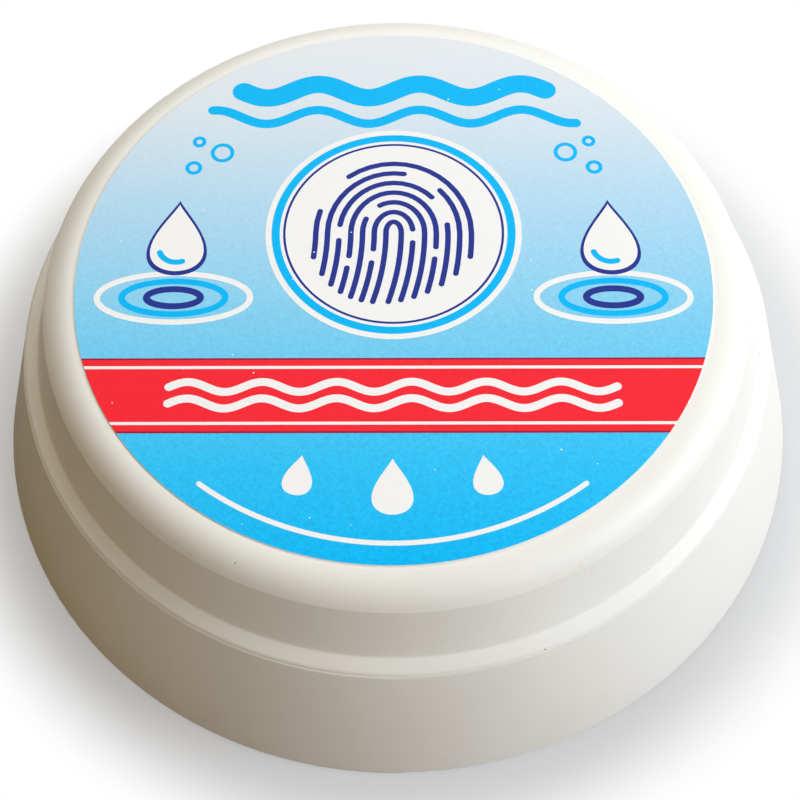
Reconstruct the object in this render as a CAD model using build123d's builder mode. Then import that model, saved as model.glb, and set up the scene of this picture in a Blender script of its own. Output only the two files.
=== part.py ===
from build123d import *
import os
from math import cos, hypot, radians, sin, tan

# Finger moistener: a low flared pot of moistening gel, closed by a screw lid with a round printed label.
# Millimetres, +Z up. The origin is on the surface that the pot stands on, at the middle of its foot.

# Base shell: the flared outer wall, its deck and the threaded neck.
FOOT_DIAMETER = 82.4
BASE_HEIGHT = 15.0
BASE_DRAFT = 13.8
BASE_WALL = 1.4
DECK_EDGE_RADIUS = 0.3
FOOT_EDGE_RADIUS = 0.3
NECK_HEIGHT = 6.0
NECK_WALL = 1.2
NECK_FOOT_RADIUS = 0.4
RIB_COUNT = 8
RIB_THICKNESS = 1.0
RIB_LOW_END = 6.6

# Gel cup: the inner cup that hangs in the neck by its flange and holds the gel.
CUP_FLANGE = 1.0
CUP_WALL = 1.1
CUP_DRAFT = 2.0
CUP_GROUND_GAP = 5.4
CUP_FLOOR = 1.1
CUP_CORNER_RADIUS = 2.0
CUP_FIT = 0.1
SNAP_BEAD_RADIUS = 0.4
SNAP_BEAD_GAP = 0.1
GATE_MARK_DIAMETER = 5.0
GATE_MARK_DEPTH = 0.4

# Gel: a disc of soft paste, its top a little hollowed by fingers.
GEL_HEADROOM = 6.3
GEL_DISH = 0.8
GEL_GAP = 0.1

# Screw thread between neck and lid: several ridges on one helix each, half a pitch apart when closed.
# Each ridge tapers off at both ends, down to a small step.
THREAD_STARTS = 4
THREAD_PITCH = 3.0
THREAD_SPAN = 70.0
THREAD_START_ANGLE = 10.0
THREAD_DEPTH = 0.9
THREAD_FLANK = 20.0
THREAD_SIDE_CLEARANCE = 0.4
THREAD_TIP_CLEARANCE = 0.3
THREAD_END_MARGIN = 0.4
THREAD_END_TAPER = 3.0
THREAD_END_STEP = 0.15

# Lid: top, rounded shoulder, leaning wall, sloped ledge and rounded rim, with a threaded skirt inside.
LID_TOP = 1.3
LID_WALL = 1.2
LID_DRAFT = 13.4
SHOULDER_RADIUS = 3.64
SHOULDER_SWEEP = 62.0
SHOULDER_LAND = 1.0
LEDGE_WIDTH = 1.18
LEDGE_SLOPE = 29.0
LEDGE_CORNER_RADIUS = 0.35
RIM_ROUND_RADIUS = 0.6
RIM_ROUND_SWEEP = 37.0
RIM_SETBACK = 0.12
RIM_GAP = 0.1
POCKET_WIDTH = 1.4
SKIRT_WALL = 1.1
SKIRT_LIFT = 0.4

# Sealing liner: a foam disc under the lid's top, held by a bead inside the skirt.
LINER_THICKNESS = 0.9
LINER_FIT = 0.25
LINER_BEAD_RADIUS = 0.5
LINER_BEAD_GAP = 0.1
SEAL_GAP = 0.1

# Label: a printed paper disc on the lid's flat top, stuck on a little off centre.
LABEL_THICKNESS = 0.13
LABEL_MARGIN = 0.36
LABEL_OFFSET_X = -0.25
LABEL_OFFSET_Y = 0.14

# Heights, from the foot up.
deck_under = BASE_HEIGHT - BASE_WALL
neck_top = BASE_HEIGHT + NECK_HEIGHT
cup_rim = neck_top + CUP_FLANGE
cup_floor = CUP_GROUND_GAP + CUP_FLOOR
gel_top = cup_rim - GEL_HEADROOM
liner_under = cup_rim + SEAL_GAP
liner_bead_height = liner_under - LINER_BEAD_GAP - LINER_BEAD_RADIUS
lid_under = liner_under + LINER_THICKNESS
lid_top = lid_under + LID_TOP
rim_under = BASE_HEIGHT + RIM_GAP
pocket_top = lid_under - SHOULDER_LAND
skirt_under = rim_under + SKIRT_LIFT


def base_outside(height):
    """Radius of the flared wall's outer face at a height."""
    return FOOT_DIAMETER / 2 - height * tan(radians(BASE_DRAFT))


def base_inside(height):
    """Radius of the flared wall's inner face at a height."""
    return base_outside(height) - BASE_WALL / cos(radians(BASE_DRAFT))


def lid_outside(height):
    """Radius of the lid wall's outer face at a height."""
    return ledge_radius - LEDGE_WIDTH - (height - ledge_top) * tan(radians(LID_DRAFT))


def lid_inside(height):
    """Radius of the lid wall's inner face at a height."""
    return lid_outside(height) - LID_WALL / cos(radians(LID_DRAFT))


def cup_inside(height):
    """Radius of the gel cup's inner face at a height, narrowing towards its floor."""
    return cup_mouth - (cup_rim - height) * tan(radians(CUP_DRAFT))


def cup_outside(height):
    """Radius of the gel cup's outer face below the neck, at a height."""
    return neck_bore - CUP_FIT - (deck_under - height) * tan(radians(CUP_DRAFT))


# Radii, from the flared wall in: the rim ends just inside the deck's edge, and the rest nests inside it.
# The ledge slopes from the lid's wall to the rounded rim, which steepens down to the parting line.
rim_steep = LEDGE_SLOPE + RIM_ROUND_SWEEP
rim_radius = base_outside(BASE_HEIGHT) - RIM_SETBACK
ledge_radius = rim_radius - RIM_ROUND_RADIUS * (sin(radians(rim_steep)) - sin(radians(LEDGE_SLOPE)))
ledge_low = rim_under + RIM_ROUND_RADIUS * (cos(radians(LEDGE_SLOPE)) - cos(radians(rim_steep)))
ledge_top = ledge_low + LEDGE_WIDTH * tan(radians(LEDGE_SLOPE))
# The shoulder arc starts level at the lid's flat top and meets the wall at a crease.
crease_height = lid_top - SHOULDER_RADIUS * (1 - cos(radians(SHOULDER_SWEEP)))
crease_radius = lid_outside(crease_height)
flat_radius = crease_radius - SHOULDER_RADIUS * sin(radians(SHOULDER_SWEEP))
label_radius = flat_radius - LABEL_MARGIN
skirt_outside = lid_inside(pocket_top) - POCKET_WIDTH
lid_bore = skirt_outside - SKIRT_WALL
liner_radius = lid_bore - LINER_FIT
neck_radius = lid_bore - THREAD_TIP_CLEARANCE - THREAD_DEPTH
neck_bore = neck_radius - NECK_WALL
cup_mouth = cup_outside(deck_under) - CUP_WALL

# Ridge widths follow the pitch, so that both sets of ridges share it with the side clearance between them.
thread_lead = THREAD_STARTS * THREAD_PITCH
ridge_rise = thread_lead * THREAD_SPAN / 360
flank_slope = tan(radians(THREAD_FLANK))
half_depth = (THREAD_DEPTH + THREAD_TIP_CLEARANCE) / 2
ridge_middle = THREAD_PITCH / 2 - THREAD_SIDE_CLEARANCE
ridge_root = ridge_middle + 2 * half_depth * flank_slope
ridge_crest = ridge_middle - 2 * (THREAD_DEPTH - half_depth) * flank_slope
ridge_sink = NECK_WALL / 4
neck_ridge_end = min(neck_top, liner_bead_height - LINER_BEAD_RADIUS) - THREAD_END_MARGIN
neck_ridge_start = neck_ridge_end - ridge_root / 2 - ridge_rise
lid_ridge_start = skirt_under + THREAD_END_MARGIN + ridge_root / 2
lid_ridge_drop = neck_ridge_start - THREAD_PITCH / 2 - lid_ridge_start
lid_ridge_angle = THREAD_START_ANGLE - lid_ridge_drop * 360 / thread_lead


def from_axis(edge):
    """Distance of an edge's middle from the pot's axis."""
    return hypot(edge.center().X, edge.center().Y)


def thread_ridge(root_radius, outward, start_height):
    """One ridge of the thread, swept up its helix. outward is 1 on the neck and -1 inside the lid."""
    sunk = -outward * ridge_sink
    crest = outward * THREAD_DEPTH
    with BuildPart() as ridge:
        with BuildLine() as path:
            Helix(thread_lead, ridge_rise, root_radius, center=(0, 0, start_height))
        start = Plane(path.line @ 0, x_dir=(1, 0, 0), z_dir=path.line % 0)
        with BuildSketch(start):
            with BuildLine():
                Polyline(
                    (sunk, -ridge_root / 2),
                    (0, -ridge_root / 2),
                    (crest, -ridge_crest / 2),
                    (crest, ridge_crest / 2),
                    (0, ridge_root / 2),
                    (sunk, ridge_root / 2),
                    close=True,
                )
            make_face()
        sweep(path=path.line, is_frenet=True)
        for end in ridge.faces().filter_by(GeomType.PLANE):
            crest_edge = end.edges().sort_by(from_axis)[-1 if outward > 0 else 0]
            chamfer(crest_edge, THREAD_DEPTH - THREAD_END_STEP, THREAD_END_TAPER, reference=end)
    return ridge.part


neck_ridge = thread_ridge(neck_radius, 1, neck_ridge_start)
lid_ridge = thread_ridge(lid_bore, -1, lid_ridge_start)


def nearest_corner(outline, point):
    """The corner of a flat outline that lies nearest to a point."""
    return outline.vertices().sort_by_distance(point)[0]


# One stiffening rib under the deck, a gusset from the neck's foot to the flared wall.
rib_sink = BASE_WALL / 2
with BuildPart() as rib:
    with BuildSketch(Plane.XZ):
        with BuildLine():
            Polyline(
                (neck_radius, deck_under + rib_sink),
                (neck_radius, deck_under),
                (base_inside(RIB_LOW_END), RIB_LOW_END),
                (base_inside(RIB_LOW_END) + rib_sink, RIB_LOW_END),
                (base_inside(deck_under) + rib_sink, deck_under + rib_sink),
                close=True,
            )
        make_face()
    extrude(amount=RIB_THICKNESS / 2, both=True)

# Base shell: flared wall, deck and threaded neck in one moulding, hollow underneath.
foot_corner = (base_outside(0), 0)
deck_corner = (base_outside(BASE_HEIGHT), BASE_HEIGHT)
neck_corner = (neck_radius, BASE_HEIGHT)
with BuildPart() as base_shell:
    with BuildSketch(Plane.XZ) as outline:
        with BuildLine():
            Polyline(
                foot_corner,
                deck_corner,
                neck_corner,
                (neck_radius, neck_top),
                (neck_bore, neck_top),
                (neck_bore, deck_under),
                (base_inside(deck_under), deck_under),
                (base_inside(0), 0),
                close=True,
            )
        make_face()
        fillet(nearest_corner(outline, foot_corner), FOOT_EDGE_RADIUS)
        fillet(nearest_corner(outline, deck_corner), DECK_EDGE_RADIUS)
        fillet(nearest_corner(outline, neck_corner), NECK_FOOT_RADIUS)
    revolve(axis=Axis.Z)
    with PolarLocations(0, RIB_COUNT, start_angle=180 / RIB_COUNT):
        add(rib.part)
    with PolarLocations(0, THREAD_STARTS, start_angle=THREAD_START_ANGLE):
        add(neck_ridge)
base_shell.part.label = "base_shell"

# Gel cup: a flange on the neck, a drafted wall through it, and a snap bead that catches under the deck.
snap_bead_height = deck_under - SNAP_BEAD_GAP - SNAP_BEAD_RADIUS
inner_corner = (cup_inside(cup_floor), cup_floor)
outer_corner = (cup_outside(CUP_GROUND_GAP), CUP_GROUND_GAP)
with BuildPart() as gel_cup:
    with BuildSketch(Plane.XZ) as outline:
        with BuildLine():
            Polyline(
                (0, CUP_GROUND_GAP),
                outer_corner,
                (cup_outside(deck_under), deck_under),
                (cup_outside(deck_under), neck_top),
                (neck_radius, neck_top),
                (neck_radius, cup_rim),
                (cup_mouth, cup_rim),
                inner_corner,
                (0, cup_floor),
                close=True,
            )
        make_face()
        fillet(nearest_corner(outline, inner_corner), CUP_CORNER_RADIUS)
        fillet(nearest_corner(outline, outer_corner), CUP_CORNER_RADIUS + CUP_FLOOR)
        with Locations((cup_outside(snap_bead_height), snap_bead_height)):
            Circle(SNAP_BEAD_RADIUS)
    revolve(axis=Axis.Z)
    with BuildSketch(Plane.XY.offset(CUP_GROUND_GAP)):
        Circle(GATE_MARK_DIAMETER / 2)
    extrude(amount=GATE_MARK_DEPTH, mode=Mode.SUBTRACT)
gel_cup.part.label = "gel_cup"

# Gel: fills the cup's lower part, flat on its floor and just clear of its wall.
gel_side = (cup_inside(gel_top) - GEL_GAP, gel_top)
gel_corner = (cup_inside(cup_floor) - GEL_GAP, cup_floor)
gel_middle = (0, gel_top - GEL_DISH)
with BuildPart() as gel:
    with BuildSketch(Plane.XZ) as outline:
        with BuildLine():
            Polyline(gel_middle, (0, cup_floor), gel_corner, gel_side)
            TangentArc(gel_middle, gel_side, tangent=(1, 0))
        make_face()
        fillet(nearest_corner(outline, gel_corner), CUP_CORNER_RADIUS)
    revolve(axis=Axis.Z)
gel.part.label = "gel"

# Lid: one moulding whose outer wall hides a separate threaded skirt, with a pocket between them.
ledge_corner = (lid_outside(ledge_top), ledge_top)
ledge_way = (cos(radians(LEDGE_SLOPE)), -sin(radians(LEDGE_SLOPE)))
with BuildPart() as lid:
    with BuildSketch(Plane.XZ) as outline:
        with BuildLine():
            Line((0, lid_top), (flat_radius, lid_top))
            JernArc((flat_radius, lid_top), (1, 0), SHOULDER_RADIUS, -SHOULDER_SWEEP)
            Polyline((crease_radius, crease_height), ledge_corner, (ledge_radius, ledge_low))
            JernArc((ledge_radius, ledge_low), ledge_way, RIM_ROUND_RADIUS, -RIM_ROUND_SWEEP)
            Polyline(
                (rim_radius, rim_under),
                (lid_inside(rim_under), rim_under),
                (lid_inside(pocket_top), pocket_top),
                (skirt_outside, pocket_top),
                (skirt_outside, skirt_under),
                (lid_bore, skirt_under),
                (lid_bore, lid_under),
                (0, lid_under),
                (0, lid_top),
            )
        make_face()
        fillet(nearest_corner(outline, ledge_corner), LEDGE_CORNER_RADIUS)
        with Locations((lid_bore, liner_bead_height)):
            Circle(LINER_BEAD_RADIUS)
    revolve(axis=Axis.Z)
    with PolarLocations(0, THREAD_STARTS, start_angle=lid_ridge_angle):
        add(lid_ridge)
lid.part.label = "lid"

# Sealing liner: a flat foam disc against the lid's underside, over the cup's rim.
with BuildPart() as lid_liner:
    with BuildSketch(Plane.XY.offset(liner_under)):
        Circle(liner_radius)
    extrude(amount=LINER_THICKNESS)
lid_liner.part.label = "lid_liner"

# Label: the printed disc on top of the lid.
with BuildPart() as label:
    with BuildSketch(Plane.XY.offset(lid_top)):
        with Locations((LABEL_OFFSET_X, LABEL_OFFSET_Y)):
            Circle(label_radius)
    extrude(amount=LABEL_THICKNESS)
label.part.label = "label"

os.makedirs("parts", exist_ok=True)
for piece in (base_shell, gel_cup, gel, lid, lid_liner, label):
    export_step(piece.part, f"parts/{piece.part.label}.step")
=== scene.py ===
from math import cos, pi, radians, sin, sqrt, tan
import bmesh
import bpy
from mathutils import Matrix, Vector


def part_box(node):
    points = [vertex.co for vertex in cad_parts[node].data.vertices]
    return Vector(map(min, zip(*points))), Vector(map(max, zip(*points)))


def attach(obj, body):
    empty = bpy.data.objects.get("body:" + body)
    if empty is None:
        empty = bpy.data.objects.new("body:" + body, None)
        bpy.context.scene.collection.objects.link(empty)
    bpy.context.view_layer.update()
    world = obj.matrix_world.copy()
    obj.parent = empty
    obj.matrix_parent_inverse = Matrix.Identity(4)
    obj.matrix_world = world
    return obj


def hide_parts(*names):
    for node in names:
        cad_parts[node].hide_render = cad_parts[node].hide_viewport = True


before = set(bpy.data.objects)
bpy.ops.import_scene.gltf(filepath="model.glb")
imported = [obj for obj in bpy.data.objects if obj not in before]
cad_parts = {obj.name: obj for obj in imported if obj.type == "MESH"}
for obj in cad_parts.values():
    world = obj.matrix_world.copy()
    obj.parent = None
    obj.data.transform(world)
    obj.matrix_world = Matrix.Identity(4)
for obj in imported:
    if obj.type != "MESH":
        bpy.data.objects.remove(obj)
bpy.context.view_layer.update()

# A finger moistener: an ivory moulded pot with a screw lid, a printed label, a foam seal and a cup of gel.
# Lengths are in millimetres until a mesh, a texture or a lamp is made from them, and in metres from there.
MM = 0.001

# Places of the label and the gel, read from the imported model.
label_low, label_high = (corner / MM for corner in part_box("label"))
label_radius = (label_high.x - label_low.x) / 2
label_middle = (label_low + label_high) / 2
gel_low, gel_high = (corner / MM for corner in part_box("gel"))

# Sockets of a Mix node for colours. They go by number, because other sockets of the node have the same names.
SHARE = 0
UNDER = 6
OVER = 7
RESULT = 2


def linear(hex_colour):
    """An sRGB hex colour as linear RGBA."""
    channels = [int(hex_colour[i:i + 2], 16) / 255 for i in (0, 2, 4)]
    return [c / 12.92 if c <= 0.04045 else ((c + 0.055) / 1.055) ** 2.4 for c in channels] + [1.0]


def per_mm(size):
    """The texture scale whose features are this many millimetres apart."""
    return 1 / (size * MM)


def add_node(tree, kind, inputs=None, stops=(), **settings):
    """A shader node with its settings, its inputs and, on a colour ramp, its stops.

    Each input is a value, or the output socket that is linked to it. Each stop is a place and a hex colour.
    """
    node = tree.nodes.new("ShaderNode" + kind)
    for name, value in settings.items():
        setattr(node, name, value)
    for i, (place, colour) in enumerate(stops):
        element = node.color_ramp.elements[i] if i < 2 else node.color_ramp.elements.new(place)
        element.position = place
        element.color = linear(colour)
    for name, value in (inputs or {}).items():
        if isinstance(value, bpy.types.NodeSocket):
            tree.links.new(value, node.inputs[name])
        else:
            node.inputs[name].default_value = value
    return node


def new_material(name):
    """An empty material, its node tree and the socket that its shader goes to."""
    material = bpy.data.materials.new(name)
    material.use_nodes = True
    material.node_tree.nodes.clear()
    output = add_node(material.node_tree, "OutputMaterial")
    return material, material.node_tree, output.inputs["Surface"]


def speck_mask(tree, place, spacing, size):
    """1 on small specks and 0 elsewhere. Their spacing and their largest size are in millimetres."""
    cells = add_node(tree, "TexVoronoi", {"Vector": place, "Scale": per_mm(spacing)})
    chance = add_node(tree, "SeparateColor", {"Color": cells.outputs["Color"]}).outputs["Red"]
    reach = add_node(tree, "Math", {0: chance, 1: size / (2 * spacing)}, operation="MULTIPLY").outputs[0]
    return add_node(tree, "Math", {0: cells.outputs["Distance"], 1: reach}, operation="LESS_THAN").outputs[0]


# Ivory polypropylene. The grain is really about 0.05 mm, and is drawn at 0.3 mm so that it shows.
IVORY_STOPS = [(0.35, "F2F0E8"), (0.75, "EEEBE2")]
IVORY_CLOUD = 14.0
SMUDGE = "E2DED3"
SMUDGE_SIZE = 4.0
DIRT = "8F8672"
DIRT_SPACING = 3.4
DIRT_SIZE = 0.22
IVORY_GRAIN = 0.3
IVORY_GRAIN_DEPTH = 0.01
HANDLED_SIZE = 6.0
POLYPROPYLENE_IOR = 1.49


def ivory_polypropylene():
    """Satin polypropylene from an eroded mould: soft highlights, fine grain and a few marks of handling."""
    material, tree, surface = new_material("ivory_polypropylene_moulded")
    place = add_node(tree, "TexCoord").outputs["Object"]
    cloud = add_node(tree, "TexNoise", {"Vector": place, "Scale": per_mm(IVORY_CLOUD), "Detail": 3})
    tint = add_node(tree, "ValToRGB", {"Fac": cloud.outputs["Fac"]}, IVORY_STOPS)
    # Fingers leave a few smudges, where this noise is highest, and specks of dirt lie over them.
    touched = add_node(tree, "TexNoise", {
        "Vector": place,
        "Scale": per_mm(SMUDGE_SIZE),
        "Detail": 5,
        "Roughness": 0.6,
    })
    smudge = add_node(tree, "MapRange", {"Value": touched.outputs["Fac"], "From Min": 0.68, "From Max": 0.82})
    smudged = add_node(tree, "Mix", {
        SHARE: smudge.outputs[0],
        UNDER: tint.outputs["Color"],
        OVER: linear(SMUDGE),
    }, data_type="RGBA")
    soiled = add_node(tree, "Mix", {
        SHARE: speck_mask(tree, place, DIRT_SPACING, DIRT_SIZE),
        UNDER: smudged.outputs[RESULT],
        OVER: linear(DIRT),
    }, data_type="RGBA")
    grain = add_node(tree, "TexNoise", {"Vector": place, "Scale": per_mm(IVORY_GRAIN), "Detail": 2})
    handled = add_node(tree, "TexNoise", {"Vector": place, "Scale": per_mm(HANDLED_SIZE), "Detail": 4})
    rough = add_node(tree, "MapRange", {"Value": handled.outputs["Fac"], "To Min": 0.36, "To Max": 0.52})
    bump = add_node(tree, "Bump", {
        "Height": grain.outputs["Fac"],
        "Strength": 0.5,
        "Distance": IVORY_GRAIN_DEPTH * MM,
    })
    shader = add_node(tree, "BsdfPrincipled", {
        "Base Color": soiled.outputs[RESULT],
        "Roughness": rough.outputs[0],
        "IOR": POLYPROPYLENE_IOR,
        "Normal": bump.outputs["Normal"],
    })
    tree.links.new(shader.outputs["BSDF"], surface)
    return material


# Natural polypropylene.
CUP_WHITE = "EFEFEA"
CUP_FLOW_SIZE = 9.0


def cup_polypropylene():
    """Natural polypropylene from a polished mould: whiter and smoother than the outside."""
    material, tree, surface = new_material("natural_polypropylene_moulded")
    place = add_node(tree, "TexCoord").outputs["Object"]
    flow = add_node(tree, "TexNoise", {"Vector": place, "Scale": per_mm(CUP_FLOW_SIZE), "Detail": 3})
    rough = add_node(tree, "MapRange", {"Value": flow.outputs["Fac"], "To Min": 0.24, "To Max": 0.38})
    shader = add_node(tree, "BsdfPrincipled", {
        "Base Color": linear(CUP_WHITE),
        "Roughness": rough.outputs[0],
        "IOR": POLYPROPYLENE_IOR,
    })
    tree.links.new(shader.outputs["BSDF"], surface)
    return material


# Glycerine gel. Red light goes a little less far into it than green and blue.
GEL_STOPS = [(0.3, "D3E1E4"), (0.7, "E6EDEC")]
GEL_CLOUD = 7.0
GEL_RIPPLE = 2.5
GEL_RIPPLE_DEPTH = 0.15
GEL_LIGHT_REACH = (1.6, 2.0, 2.0)


def moistening_gel():
    """Glycerine paste, stirred by fingers: milky, a little clear, and wet on top."""
    material, tree, surface = new_material("glycerine_gel")
    place = add_node(tree, "TexCoord").outputs["Object"]
    cloud = add_node(tree, "TexNoise", {"Vector": place, "Scale": per_mm(GEL_CLOUD), "Detail": 3})
    tint = add_node(tree, "ValToRGB", {"Fac": cloud.outputs["Fac"]}, GEL_STOPS)
    ripple = add_node(tree, "TexNoise", {"Vector": place, "Scale": per_mm(GEL_RIPPLE), "Detail": 2})
    bump = add_node(tree, "Bump", {
        "Height": ripple.outputs["Fac"],
        "Strength": 0.4,
        "Distance": GEL_RIPPLE_DEPTH * MM,
    })
    shader = add_node(tree, "BsdfPrincipled", {
        "Base Color": tint.outputs["Color"],
        "Roughness": 0.24,
        "IOR": 1.46,
        "Subsurface Weight": 0.4,
        "Subsurface Radius": GEL_LIGHT_REACH,
        "Subsurface Scale": MM,
        "Coat Weight": 0.3,
        "Coat Roughness": 0.1,
        "Normal": bump.outputs["Normal"],
    })
    tree.links.new(shader.outputs["BSDF"], surface)
    return material


# Polyethylene foam.
FOAM_STOPS = [(0.1, "F1F0EB"), (0.9, "DAD8D0")]
FOAM_CELL = 0.55
FOAM_CELL_DEPTH = 0.08


def polyethylene_foam():
    """Closed-cell polyethylene foam, cut from sheet: matt, with small cells that show through its skin."""
    material, tree, surface = new_material("polyethylene_foam_sheet")
    place = add_node(tree, "TexCoord").outputs["Object"]
    cells = add_node(tree, "TexVoronoi", {"Vector": place, "Scale": per_mm(FOAM_CELL)})
    tint = add_node(tree, "ValToRGB", {"Fac": cells.outputs["Distance"]}, FOAM_STOPS)
    bump = add_node(tree, "Bump", {
        "Height": cells.outputs["Distance"],
        "Strength": 0.5,
        "Distance": FOAM_CELL_DEPTH * MM,
    }, invert=True)
    shader = add_node(tree, "BsdfPrincipled", {
        "Base Color": tint.outputs["Color"],
        "Roughness": 0.75,
        "IOR": 1.5,
        "Normal": bump.outputs["Normal"],
    })
    tree.links.new(shader.outputs["BSDF"], surface)
    return material


# Printed paper. The mottle is really finer than this and the halftone screen about 0.17 mm, and both are
# drawn coarser so that they show.
PAPER_WHITE = "F6F5F3"
SKY_STOPS = [
    (0.0, "00BEFE"),
    (0.19, "35C9FD"),
    (0.42, "84D6F8"),
    (0.65, "BAE1F7"),
    (0.85, "E3EDF3"),
    (1.0, "EDF0F3"),
]
INKS = {"white": "FBFAF8", "red": "FF2B38", "maroon": "9C1E3C", "cyan": "00BEFE", "navy": "283690"}
PRINT_ROUGHNESS = 0.45
PRINT_GLOSS = 0.06
MOTTLE_SIZE = 0.3
MOTTLE_STRENGTH = 0.17
WHITE_MOTTLE = 0.15
SOLID_MOTTLE = 0.4
PINHOLE_SPACING = 1.9
PINHOLE_SIZE = 0.2
SCREEN_SIZE = 0.26
SCREEN_ANGLE = radians(45)
UPWARD = 0.5


def printed(tree, place, colour, cover):
    """A printed colour with tiny pinholes, and with mottle where ink, from 0 to 1, covers the paper."""
    mottle = add_node(tree, "TexNoise", {
        "Vector": place,
        "Scale": per_mm(MOTTLE_SIZE),
        "Detail": 2,
        "Roughness": 0.6,
    })
    uneven = add_node(tree, "MapRange", {
        "Value": mottle.outputs["Fac"],
        "From Min": 0.2,
        "From Max": 0.8,
        "To Min": -MOTTLE_STRENGTH,
        "To Max": MOTTLE_STRENGTH,
    })
    level = add_node(tree, "Math", {0: uneven.outputs[0], 1: cover, 2: 1.0}, operation="MULTIPLY_ADD")
    inked = add_node(tree, "HueSaturation", {"Value": level.outputs[0], "Color": colour})
    face = add_node(tree, "Mix", {
        SHARE: speck_mask(tree, place, PINHOLE_SPACING, PINHOLE_SIZE),
        UNDER: inked.outputs["Color"],
        OVER: linear(PAPER_WHITE),
    }, data_type="RGBA")
    return face.outputs[RESULT]


def label_paper():
    """Coated paper printed from sky blue at the front to near white at the back, with a white cut edge."""
    material, tree, surface = new_material("coated_paper_printed_sky")
    place = add_node(tree, "TexCoord").outputs["Object"]
    across = add_node(tree, "SeparateXYZ", {"Vector": place})
    height = add_node(tree, "MapRange", {
        "Value": across.outputs["Y"],
        "From Min": label_low.y * MM,
        "From Max": label_high.y * MM,
    })
    aslant = add_node(tree, "VectorRotate", {"Vector": place, "Angle": SCREEN_ANGLE}, rotation_type="Z_AXIS")
    screen = add_node(tree, "TexVoronoi", {
        "Vector": aslant.outputs[0],
        "Scale": per_mm(SCREEN_SIZE),
        "Randomness": 0,
    }, voronoi_dimensions="2D")
    dots = add_node(tree, "MapRange", {"Value": screen.outputs["Distance"], "To Min": -0.05, "To Max": 0.08})
    shade = add_node(tree, "Math", {0: height.outputs[0], 1: dots.outputs[0]}, operation="ADD")
    sky = add_node(tree, "ValToRGB", {"Fac": shade.outputs[0]}, SKY_STOPS)
    facing = add_node(tree, "SeparateXYZ", {"Vector": add_node(tree, "NewGeometry").outputs["True Normal"]})
    upward = add_node(tree, "Math", {0: facing.outputs["Z"], 1: UPWARD}, operation="GREATER_THAN")
    cover = add_node(tree, "Math", {0: 1.0, 1: height.outputs[0]}, operation="SUBTRACT")
    sheet = add_node(tree, "Mix", {
        SHARE: upward.outputs[0],
        UNDER: linear(PAPER_WHITE),
        OVER: printed(tree, place, sky.outputs["Color"], cover.outputs[0]),
    }, data_type="RGBA")
    shader = add_node(tree, "BsdfPrincipled", {
        "Base Color": sheet.outputs[RESULT],
        "Roughness": PRINT_ROUGHNESS,
        "Specular IOR Level": PRINT_GLOSS,
    })
    tree.links.new(shader.outputs["BSDF"], surface)
    return material


def offset_ink(name):
    """Offset ink on coated paper: solid colour with a little mottle, and the paper's own soft gloss."""
    material, tree, surface = new_material("offset_ink_" + name)
    place = add_node(tree, "TexCoord").outputs["Object"]
    cover = WHITE_MOTTLE if name == "white" else SOLID_MOTTLE
    shader = add_node(tree, "BsdfPrincipled", {
        "Base Color": printed(tree, place, linear(INKS[name]), cover),
        "Roughness": PRINT_ROUGHNESS,
        "Specular IOR Level": PRINT_GLOSS,
    })
    tree.links.new(shader.outputs["BSDF"], surface)
    return material


WELD_DISTANCE = 0.0005


def new_piece(name, builder, materials, body):
    """A finished mesh as a piece that rides on a body, with its materials."""
    mesh = bpy.data.meshes.new(name)
    bmesh.ops.remove_doubles(builder, verts=builder.verts, dist=WELD_DISTANCE * MM)
    bmesh.ops.recalc_face_normals(builder, faces=builder.faces)
    builder.to_mesh(mesh)
    builder.free()
    for material in materials:
        mesh.materials.append(material)
    piece = bpy.data.objects.new(name, mesh)
    bpy.context.scene.collection.objects.link(piece)
    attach(piece, body)
    return piece


# Label print: patches of ink in layers on the paper. They are placed from the label's middle and turned a
# little, as the label is stuck on.
INK_LIFT = 0.008
INK_SUNK = 0.04
INK_ORDER = list(INKS)
PRINT_TURN = radians(-0.69)


def ink_strip(builder, left, right, layer, ink):
    """A flat patch of ink between two edges, each a list of points. A higher layer covers a lower one."""
    top = label_high.z + layer * INK_LIFT
    bottom = label_high.z - INK_SUNK
    turn = Matrix.Rotation(PRINT_TURN, 2)

    def corner(point, height):
        u, v = turn @ Vector(point)
        return builder.verts.new(Vector((label_middle.x + u, label_middle.y + v, height)) * MM)

    edges = ((left, top), (right, top), (right, bottom), (left, bottom))
    rails = [[corner(point, height) for point in edge] for edge, height in edges]
    faces = []
    for a, b in zip(rails, rails[1:] + rails[:1]):
        for i in range(len(a) - 1):
            faces.append((a[i], b[i], b[i + 1], a[i + 1]))
    if left[0] != left[-1]:
        faces.append([rail[0] for rail in rails])
        faces.append([rail[-1] for rail in reversed(rails)])
    for face in faces:
        builder.faces.new(face).material_index = INK_ORDER.index(ink)


def swept_line(path, width, cap_steps=6):
    """The two edges of a line of even width along a path, with round ends unless the path is closed."""
    points = [Vector(p) for p in path]
    closed = (points[0] - points[-1]).length < width / 100
    if closed:
        points[-1] = points[0]
    last = len(points) - 1
    left, right = [], []
    for i, point in enumerate(points):
        before = points[last - 1] if closed and i == 0 else points[max(i - 1, 0)]
        after = points[1] if closed and i == last else points[min(i + 1, last)]
        along = (after - before).normalized() * width / 2
        side = Vector((-along.y, along.x))
        swings = [0.0]
        if i == 0 and not closed:
            swings = [-pi / 2 * (1 - k / cap_steps) for k in range(cap_steps + 1)]
        if i == last and not closed:
            swings = [pi / 2 * k / cap_steps for k in range(cap_steps + 1)]
        for swing in swings:
            left.append(point + along * sin(swing) + side * cos(swing))
            right.append(point + along * sin(swing) - side * cos(swing))
    return left, right


def arc_path(middle, across, tall, start, end, steps=24):
    """Points along part of an ellipse, between two angles in degrees."""
    angles = [radians(start + (end - start) * i / steps) for i in range(steps + 1)]
    return [(middle[0] + across * cos(a), middle[1] + tall * sin(a)) for a in angles]


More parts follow.
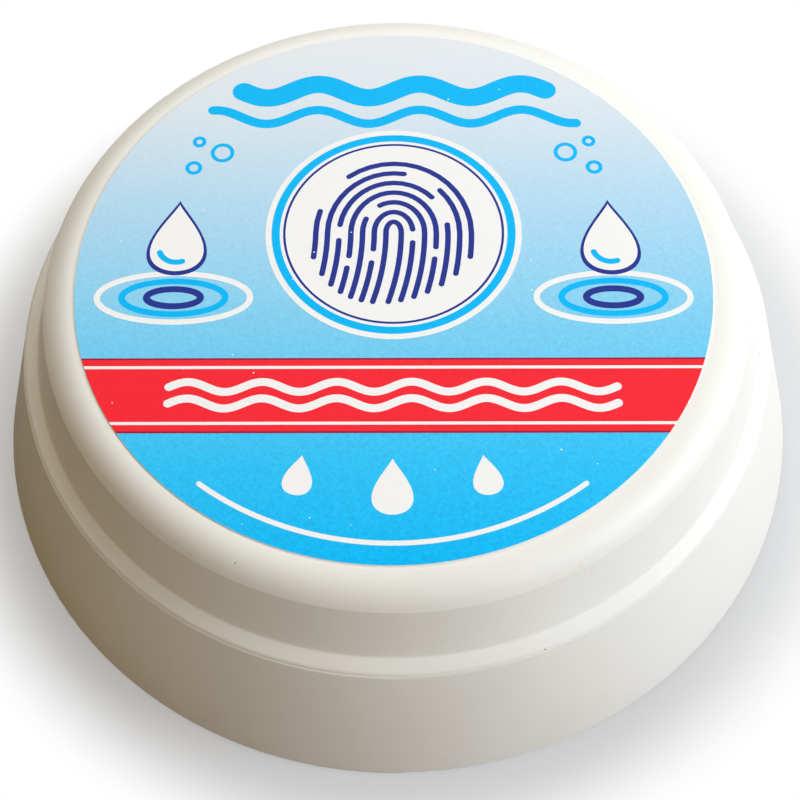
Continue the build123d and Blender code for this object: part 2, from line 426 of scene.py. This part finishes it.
def ring_path(middle, across, tall, steps):
    """Points all round an ellipse."""
    return arc_path(middle, across, tall, -180, 180, steps)


def wave_path(reach, level, swing, length, steps=64):
    """Points along a wavy line that reaches equally far to both sides."""
    us = [reach * (2 * i / steps - 1) for i in range(steps + 1)]
    return [(u, level + swing * sin(2 * pi * u / length)) for u in us]


def disc_edges(middle, radius, steps=48):
    """The two halves of a disc's edge."""
    halves = []
    for side in (-1, 1):
        angles = [pi * i / steps for i in range(steps + 1)]
        halves.append([(middle[0] + side * radius * sin(a), middle[1] + radius * cos(a)) for a in angles])
    return halves


DROP_HALF_WIDTH = 0.46
DROP_TAPER = 1.4


def drop_edges(middle, height, lean=0.0, steps=28):
    """The two halves of a water drop's edge, with its point up and then leaned by some degrees."""
    turn = Matrix.Rotation(radians(lean), 2)
    halves = []
    for side in (-1, 1):
        half = []
        for i in range(steps + 1):
            a = pi * i / steps
            out = side * DROP_HALF_WIDTH * height * sin(a) * sin(a / 2) ** DROP_TAPER
            point = turn @ Vector((out, height / 2 * cos(a)))
            half.append((middle[0] + point.x, middle[1] + point.y))
        halves.append(half)
    return halves


def band_edges(low, high, steps=11):
    """The left and right edges of a band across the whole label, between two levels."""
    levels = [low + (high - low) * i / steps for i in range(steps + 1)]
    chords = [sqrt(label_radius ** 2 - v ** 2) for v in levels]
    return [[(side * c, v) for c, v in zip(chords, levels)] for side in (-1, 1)]


# Two water lines across the top: how far each reaches, its level and its width.
TOP_LINES = [(15.5, 23.4, 2.3), (18.5, 20.0, 1.1)]
TOP_LINE_SWING = 0.9
TOP_LINE_WAVE = 10.4


def top_water_lines(builder):
    """The two wavy lines behind the medallion."""
    for reach, level, width in TOP_LINES:
        path = wave_path(reach, level, TOP_LINE_SWING, TOP_LINE_WAVE)
        ink_strip(builder, *swept_line(path, width), 1, "cyan")


# On each side a drop over rings in water, each with its half width, line and ink, and bubbles above it, each
# with its place and radius.
POOL = (21.2, -2.2)
POOL_RINGS = [(7.4, 0.6, "white"), (5.0, 0.65, "cyan"), (2.6, 0.7, "navy")]
POOL_FLATNESS = 0.38
POOL_RING_STEPS = 72
SIDE_DROP = (21.2, 4.9)
SIDE_DROP_HEIGHT = 9.0
SIDE_DROP_INSIDE = 8.0
GLINT_BELOW = 1.2
GLINT_RADIUS = 1.75
GLINT_LINE = 0.6
GLINT_FROM = 200
GLINT_TO = 290
BUBBLES = [(17.3, 15.4, 1.0), (20.1, 13.5, 0.65), (19.7, 16.8, 0.5)]
BUBBLE_LINE = 0.4
BUBBLE_STEPS = 32


def side_drop(builder, side):
    """A drop, the rings in water under it and the bubbles above it, on the left (-1) or on the right (1)."""
    pool = (side * POOL[0], POOL[1])
    for across, width, ink in POOL_RINGS:
        ring = ring_path(pool, across, POOL_FLATNESS * across, POOL_RING_STEPS)
        ink_strip(builder, *swept_line(ring, width), 1, ink)
    drop = (side * SIDE_DROP[0], SIDE_DROP[1])
    ink_strip(builder, *drop_edges(drop, SIDE_DROP_HEIGHT), 2, "navy")
    ink_strip(builder, *drop_edges(drop, SIDE_DROP_INSIDE), 3, "white")
    glint = arc_path((drop[0], drop[1] - GLINT_BELOW), GLINT_RADIUS, GLINT_RADIUS, GLINT_FROM, GLINT_TO)
    ink_strip(builder, *swept_line(glint, GLINT_LINE), 4, "cyan")
    for u, v, radius in BUBBLES:
        bubble = ring_path((side * u, v), radius, radius, BUBBLE_STEPS)
        ink_strip(builder, *swept_line(bubble, BUBBLE_LINE), 1, "cyan")


# A white medallion with rings, each with its radius, line and ink, and a fingerprint of nested ridges. Each
# ridge has gaps, which start at these points along it.
MEDALLION = (0, 5.6)
MEDALLION_RADIUS = 12.6
MEDALLION_RINGS = [(11.6, 0.8, "cyan"), (10.75, 0.24, "navy")]
MEDALLION_RING_STEPS = 96
FINGERTIP = (0, 6.25)
FINGERTIP_HALF_WIDTH = 8.4
FINGERTIP_HALF_HEIGHT = 9.0
RIDGE_CORE = 5.45
RIDGE_LEAN = 1.5
RIDGE_LINE = 0.56
FIRST_RIDGE_HALF_WIDTH = 0.75
FIRST_RIDGE_ARCH = 1.3
RIDGE_SPACING = 1.15
ARCH_SPACING = 1.2
RIDGE_GAPS = [[], [12, 40], [24], [9, 46], [18, 36], [32], [23]]
RIDGE_GAP_LENGTH = 3


def ridge_path(across, tall, steps=20):
    """Points along one ridge of the fingerprint: up from the fingertip's edge, over the core and down."""
    edge = FINGERTIP_HALF_HEIGHT * sqrt(1 - (across / FINGERTIP_HALF_WIDTH) ** 2)
    low = FINGERTIP[1] - edge
    levels = [low + (RIDGE_CORE - low) * i / steps for i in range(steps + 1)]
    leg = [(v, RIDGE_LEAN * ((RIDGE_CORE - v) / FINGERTIP_HALF_HEIGHT) ** 2) for v in levels]
    rise = [(FINGERTIP[0] - across - bend, v) for v, bend in leg]
    fall = [(FINGERTIP[0] + across - bend, v) for v, bend in reversed(leg)]
    arch = arc_path((FINGERTIP[0], RIDGE_CORE), across, tall, 180, 0, steps)
    return rise + arch[1:-1] + fall


def medallion(builder):
    """The white disc, its rings and the fingerprint."""
    ink_strip(builder, *disc_edges(MEDALLION, MEDALLION_RADIUS), 1, "white")
    for radius, width, ink in MEDALLION_RINGS:
        ring = ring_path(MEDALLION, radius, radius, MEDALLION_RING_STEPS)
        ink_strip(builder, *swept_line(ring, width), 2, ink)
    for ridge, gaps in enumerate(RIDGE_GAPS):
        across = FIRST_RIDGE_HALF_WIDTH + RIDGE_SPACING * ridge
        path = ridge_path(across, FIRST_RIDGE_ARCH + ARCH_SPACING * ridge)
        starts = [0] + [gap + RIDGE_GAP_LENGTH for gap in gaps]
        ends = gaps + [len(path)]
        for start, end in zip(starts, ends):
            ink_strip(builder, *swept_line(path[start:end], RIDGE_LINE), 2, "navy")


# A red band from edge to edge, dark where it overprints the blue, with white lines and water lines on it.
BAND_LOW = -17.2
BAND_HIGH = -9.2
OVERPRINT = 0.1
BAND_LINE_INSET = 0.95
BAND_LINE = 0.32
BAND_WAVE_LEVELS = (-12.3, -14.1)
BAND_WAVE_REACH = 21.0
BAND_WAVE_SWING = 0.55
BAND_WAVE_LENGTH = 7.0
BAND_WAVE_LINE = 0.85
BAND_WAVE_STEPS = 120


def red_band(builder):
    """The band across the label below the medallion."""
    ink_strip(builder, *band_edges(BAND_LOW - OVERPRINT, BAND_HIGH + OVERPRINT), 1, "maroon")
    ink_strip(builder, *band_edges(BAND_LOW + OVERPRINT, BAND_HIGH - OVERPRINT), 2, "red")
    for level in (BAND_LOW + BAND_LINE_INSET, BAND_HIGH - BAND_LINE_INSET):
        ink_strip(builder, *band_edges(level - BAND_LINE / 2, level + BAND_LINE / 2), 3, "white")
    for level in BAND_WAVE_LEVELS:
        path = wave_path(BAND_WAVE_REACH, level, BAND_WAVE_SWING, BAND_WAVE_LENGTH, BAND_WAVE_STEPS)
        ink_strip(builder, *swept_line(path, BAND_WAVE_LINE), 3, "white")


# White drops under the band, each with its place, height and lean, and a line along the label's edge.
LOWER_DROPS = [(-8.6, -21.7, 4.2, -8), (0, -22.9, 5.8, 0), (8.6, -21.7, 4.2, 8)]
EDGE_LINE = 0.5
EDGE_LINE_INSET = 2.2
EDGE_LINE_FROM = -128
EDGE_LINE_TO = -52
EDGE_LINE_STEPS = 60


def lower_drops(builder):
    """The three drops at the front and the line round them."""
    for u, v, height, lean in LOWER_DROPS:
        ink_strip(builder, *drop_edges((u, v), height, lean), 1, "white")
    radius = label_radius - EDGE_LINE_INSET
    path = arc_path((0, 0), radius, radius, EDGE_LINE_FROM, EDGE_LINE_TO, EDGE_LINE_STEPS)
    ink_strip(builder, *swept_line(path, EDGE_LINE), 1, "white")


def label_print():
    """All the printed motifs, with no words, as one piece."""
    builder = bmesh.new()
    top_water_lines(builder)
    for side in (-1, 1):
        side_drop(builder, side)
    medallion(builder)
    red_band(builder)
    lower_drops(builder)
    new_piece("label_print", builder, [offset_ink(name) for name in INK_ORDER], "lid")


# Gel: fills the cup, with the shallow swirl that fingers leave on it. The swirl fades out at the middle, and
# before the wall at a share of the gel's radius.
GEL_DRAFT = radians(2.0)
GEL_CORNER = 2.0
GEL_DISH = 0.8
SWIRL_DEPTH = 0.35
SWIRL_PITCH = 8.0
SWIRL_END = 0.92
SWIRL_END_FADE = 6.0
SWIRL_MIDDLE_FADE = 5.0
GEL_STEPS_AROUND = 144
GEL_STEPS_ACROSS = 44
GEL_CORNER_STEPS = 6


def gel_top_height(r, a):
    """Height of the gel's top at a radius and an angle."""
    dish = gel_high.z - GEL_DISH * (1 - (r / gel_high.x) ** 2)
    fade = min(1, max(0, (SWIRL_END * gel_high.x - r) / SWIRL_END_FADE)) * min(1, r / SWIRL_MIDDLE_FADE)
    swirl = 0.5 + 0.5 * cos(2 * pi * (r / SWIRL_PITCH) - a)
    return dish - SWIRL_DEPTH * fade * swirl


def gel_fill():
    """The gel as one closed mesh: a dished, swirled top, a drafted side and a flat bottom."""
    builder = bmesh.new()
    angles = [2 * pi * j / GEL_STEPS_AROUND for j in range(GEL_STEPS_AROUND)]

    def loop_of(r, heights):
        places = [Vector((r * cos(a), r * sin(a), z)) for a, z in zip(angles, heights)]
        return [builder.verts.new(place * MM) for place in places]

    loops = []
    for i in range(GEL_STEPS_ACROSS):
        r = gel_high.x * (i + 1) / GEL_STEPS_ACROSS
        loops.append(loop_of(r, [gel_top_height(r, a) for a in angles]))
    bottom_radius = gel_high.x - (gel_high.z - gel_low.z) * tan(GEL_DRAFT)
    for i in range(GEL_CORNER_STEPS + 1):
        turn = pi / 2 * i / GEL_CORNER_STEPS
        r = bottom_radius - GEL_CORNER * (1 - cos(turn))
        z = gel_low.z + GEL_CORNER * (1 - sin(turn))
        loops.append(loop_of(r, [z] * GEL_STEPS_AROUND))
    for inner, outer in zip(loops, loops[1:]):
        for j in range(GEL_STEPS_AROUND):
            builder.faces.new((inner[j - 1], inner[j], outer[j], outer[j - 1]))
    crown = builder.verts.new(Vector((0, 0, gel_high.z - GEL_DISH)) * MM)
    for j in range(GEL_STEPS_AROUND):
        builder.faces.new((crown, loops[0][j - 1], loops[0][j]))
    builder.faces.new(loops[-1])
    for face in builder.faces:
        face.smooth = True
    gel = new_piece("gel_fill", builder, [moistening_gel()], "base")
    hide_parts("gel")


def dress_nodes():
    """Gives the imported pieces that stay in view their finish."""
    ivory = ivory_polypropylene()
    finishes = {
        "base_shell": ivory,
        "lid": ivory,
        "gel_cup": cup_polypropylene(),
        "lid_liner": polyethylene_foam(),
        "label": label_paper(),
    }
    for name, material in finishes.items():
        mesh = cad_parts[name].data
        mesh.materials.clear()
        mesh.materials.append(material)


def seen_or_reflected(tree):
    """1 for rays that the eye follows, straight, mirrored or through clear things, and 0 for other light."""
    rays = add_node(tree, "LightPath").outputs
    seen = add_node(tree, "Math", {0: rays["Is Camera Ray"], 1: rays["Is Glossy Ray"]}, operation="ADD")
    through = {0: seen.outputs[0], 1: rays["Is Transmission Ray"]}
    return add_node(tree, "Math", through, operation="ADD", use_clamp=True).outputs[0]


# Floor: white paper that keeps the shadow near the object and fades to plain white round it. The fade is
# short where the eye sees the floor and long where the plastic mirrors it, and a glow lifts the shadow that
# is seen. Mirrored in the plastic, the floor has painted shade: its colour is darker on the side away from
# the key lamp. The light that it sends back is painted too: brown as painted shade, and paler on the side
# of the lamp as painted light. Both go by the distance from the object's middle along a way towards the
# lamps on the right.
FLOOR_WHITE = "FDFDFC"
FLOOR_GLOW = "BEBFC1"
FLOOR_GLOW_SHARE = 0.6
# Painted shade: the floor as the plastic mirrors it takes this dark colour on the side away from the key
# lamp.
FLOOR_MIRRORED_PAINTED_SHADE = "302A20"
# Painted shade and light: the floor sends back this brown, and the paler colour on the side of the lamp.
FLOOR_BOUNCE_PAINTED_SHADE = "75664F"
FLOOR_BOUNCE_PAINTED_LIGHT = "BDB9B2"
FLOOR_LIGHT_WAY = (0.85, -0.5, 0.0)
SHADED_TO = -40.0
LIGHT_FROM = -14.0
BOUNCE_BROWN_TO = 28.0
BOUNCE_PALE_FROM = 60.0
FADE_FROM = 41.5
FADE_TO_SEEN = 52.0
FADE_TO_MIRRORED = 78.0
FLOOR_RADIUS = 4000.0
FLOOR_STEPS_AROUND = 96
FLOOR_DROP = 0.02
BACKDROP_WHITE = "FFFFFF"


def floor_paper():
    """White paper, as the eye, the mirroring plastic and the bounced light each meet it, the last two with
    painted shade and light.
    """
    material, tree, surface = new_material("white_paper_floor")
    place = add_node(tree, "TexCoord").outputs["Object"]
    looked_at = add_node(tree, "LightPath").outputs["Is Camera Ray"]
    to_light = add_node(tree, "VectorMath", {0: place, 1: FLOOR_LIGHT_WAY}, operation="DOT_PRODUCT")
    # Painted shade: the mirrored floor's colour darkens away from the key lamp.
    out_of_painted_shade = add_node(tree, "MapRange", {
        "Value": to_light.outputs["Value"],
        "From Min": SHADED_TO * MM,
        "From Max": LIGHT_FROM * MM,
    })
    pale = add_node(tree, "Math", {0: out_of_painted_shade.outputs[0], 1: looked_at}, operation="MAXIMUM")
    shade = add_node(tree, "Mix", {
        SHARE: pale.outputs[0],
        UNDER: linear(FLOOR_MIRRORED_PAINTED_SHADE),
        OVER: linear(FLOOR_WHITE),
    }, data_type="RGBA")
    lit = add_node(tree, "BsdfDiffuse", {"Color": shade.outputs[RESULT]})
    glow = add_node(tree, "Emission", {"Color": linear(FLOOR_GLOW)})
    share = add_node(tree, "Math", {0: looked_at, 1: FLOOR_GLOW_SHARE}, operation="MULTIPLY")
    near = add_node(tree, "MixShader", {0: share.outputs[0], 1: lit.outputs[0], 2: glow.outputs[0]})
    far = add_node(tree, "Emission", {"Color": linear(BACKDROP_WHITE)})
    reach = add_node(tree, "VectorMath", {0: place}, operation="LENGTH")
    fade_to = add_node(tree, "MapRange", {
        "Value": looked_at,
        "To Min": FADE_TO_MIRRORED * MM,
        "To Max": FADE_TO_SEEN * MM,
    })
    fade = add_node(tree, "MapRange", {
        "Value": reach.outputs["Value"],
        "From Min": FADE_FROM * MM,
        "From Max": fade_to.outputs[0],
    }, interpolation_type="SMOOTHSTEP")
    seen = add_node(tree, "MixShader", {0: fade.outputs[0], 1: near.outputs[0], 2: far.outputs[0]})
    # Painted light: the bounced colour turns from painted brown shade to paler towards the lamp.
    painted_light_side = add_node(tree, "MapRange", {
        "Value": to_light.outputs["Value"],
        "From Min": BOUNCE_BROWN_TO * MM,
        "From Max": BOUNCE_PALE_FROM * MM,
    })
    sent_back = add_node(tree, "Mix", {
        SHARE: painted_light_side.outputs[0],
        UNDER: linear(FLOOR_BOUNCE_PAINTED_SHADE),
        OVER: linear(FLOOR_BOUNCE_PAINTED_LIGHT),
    }, data_type="RGBA")
    bounced = add_node(tree, "BsdfDiffuse", {"Color": sent_back.outputs[RESULT]})
    chosen = {0: seen_or_reflected(tree), 1: bounced.outputs[0], 2: seen.outputs[0]}
    tree.links.new(add_node(tree, "MixShader", chosen).outputs[0], surface)
    return material


def studio_floor():
    """A wide round floor, just under the foot."""
    builder = bmesh.new()
    bmesh.ops.create_circle(builder, cap_ends=True, segments=FLOOR_STEPS_AROUND, radius=FLOOR_RADIUS * MM)
    mesh = bpy.data.meshes.new("floor")
    builder.to_mesh(mesh)
    builder.free()
    mesh.materials.append(floor_paper())
    floor = bpy.data.objects.new("floor", mesh)
    floor.location.z = -FLOOR_DROP * MM
    bpy.context.scene.collection.objects.link(floor)


# Surround: white where it is seen or mirrored, and else a dim warm light, strongest from the upper right.
SURROUND_STOPS = [(0.0, "000000"), (1.0, "AE9362")]
SURROUND_LIGHT_FROM = (0.5, 0.0, 0.87)


def studio_surround():
    """The world round the object."""
    world = bpy.data.worlds.new("surround")
    bpy.context.scene.world = world
    world.use_nodes = True
    tree = world.node_tree
    tree.nodes.clear()
    seen = add_node(tree, "Background", {"Color": linear(BACKDROP_WHITE)})
    way = add_node(tree, "TexCoord").outputs["Generated"]
    lit = add_node(tree, "VectorMath", {0: way, 1: SURROUND_LIGHT_FROM}, operation="DOT_PRODUCT")
    share = add_node(tree, "MapRange", {"Value": lit.outputs["Value"], "From Min": -1})
    shade = add_node(tree, "ValToRGB", {"Fac": share.outputs[0]}, SURROUND_STOPS)
    gathered = add_node(tree, "Background", {"Color": shade.outputs["Color"]})
    chosen = {0: seen_or_reflected(tree), 1: gathered.outputs[0], 2: seen.outputs[0]}
    add_node(tree, "OutputWorld", {"Surface": add_node(tree, "MixShader", chosen).outputs[0]})


# Lamps: a key from the right, a wider lamp from the right front and one from behind. Each has a turn about
# the object and a rise above the floor, in degrees.
LAMPS = {
    "key_softbox": {"turn": -10, "rise": 30, "power": 2.35, "size": 300.0, "tint": "E6EFFF"},
    "front_softbox": {"turn": -40, "rise": 40, "power": 2.22, "size": 640.0, "tint": "CBE3FF"},
    "back_softbox": {"turn": 82, "rise": 44, "power": 2.81, "size": 520.0, "tint": "E3F2FF"},
}
LAMP_DISTANCE = 700.0


def studio_lamps():
    """Round softboxes that face the object."""
    for name, setting in LAMPS.items():
        light = bpy.data.lights.new(name, "AREA")
        light.shape = "DISK"
        light.size = setting["size"] * MM
        light.energy = setting["power"]
        light.color = linear(setting["tint"])[:3]
        turn = radians(setting["turn"])
        rise = radians(setting["rise"])
        way = Vector((cos(rise) * cos(turn), cos(rise) * sin(turn), sin(rise)))
        lamp = bpy.data.objects.new(name, light)
        lamp.location = way * LAMP_DISTANCE * MM
        lamp.rotation_mode = "QUATERNION"
        lamp.rotation_quaternion = way.to_track_quat("Z", "Y")
        bpy.context.scene.collection.objects.link(lamp)


# Camera: the photograph's view, fitted to the outlines of the label, the lid and the foot.
CAMERA_ELEVATION = radians(59.03)
CAMERA_DISTANCE = 183.3
CAMERA_AIM = Vector((0.25, -13.61, 24.43))
CAMERA_ROLL = radians(-0.69)
CAMERA_LENS = 88.41
CAMERA_SENSOR = 36.0
CAMERA_NEAREST = 10.0
CAMERA_FARTHEST = 20000.0


def photo_camera():
    """A camera at the photograph's angle, distance and lens."""
    back = Vector((0, -cos(CAMERA_ELEVATION), sin(CAMERA_ELEVATION)))
    data = bpy.data.cameras.new("photo_view")
    data.lens = CAMERA_LENS
    data.sensor_width = CAMERA_SENSOR
    data.clip_start = CAMERA_NEAREST * MM
    data.clip_end = CAMERA_FARTHEST * MM
    camera = bpy.data.objects.new("photo_view", data)
    camera.location = (CAMERA_AIM + back * CAMERA_DISTANCE) * MM
    camera.rotation_mode = "QUATERNION"
    look = back.to_track_quat("Z", "Y")
    camera.rotation_quaternion = look @ Matrix.Rotation(CAMERA_ROLL, 3, "Z").to_quaternion()
    bpy.context.scene.collection.objects.link(camera)
    bpy.context.scene.camera = camera


dress_nodes()
label_print()
gel_fill()
studio_floor()
studio_surround()
studio_lamps()
photo_camera()
bpy.context.scene.view_settings.view_transform = "Standard"
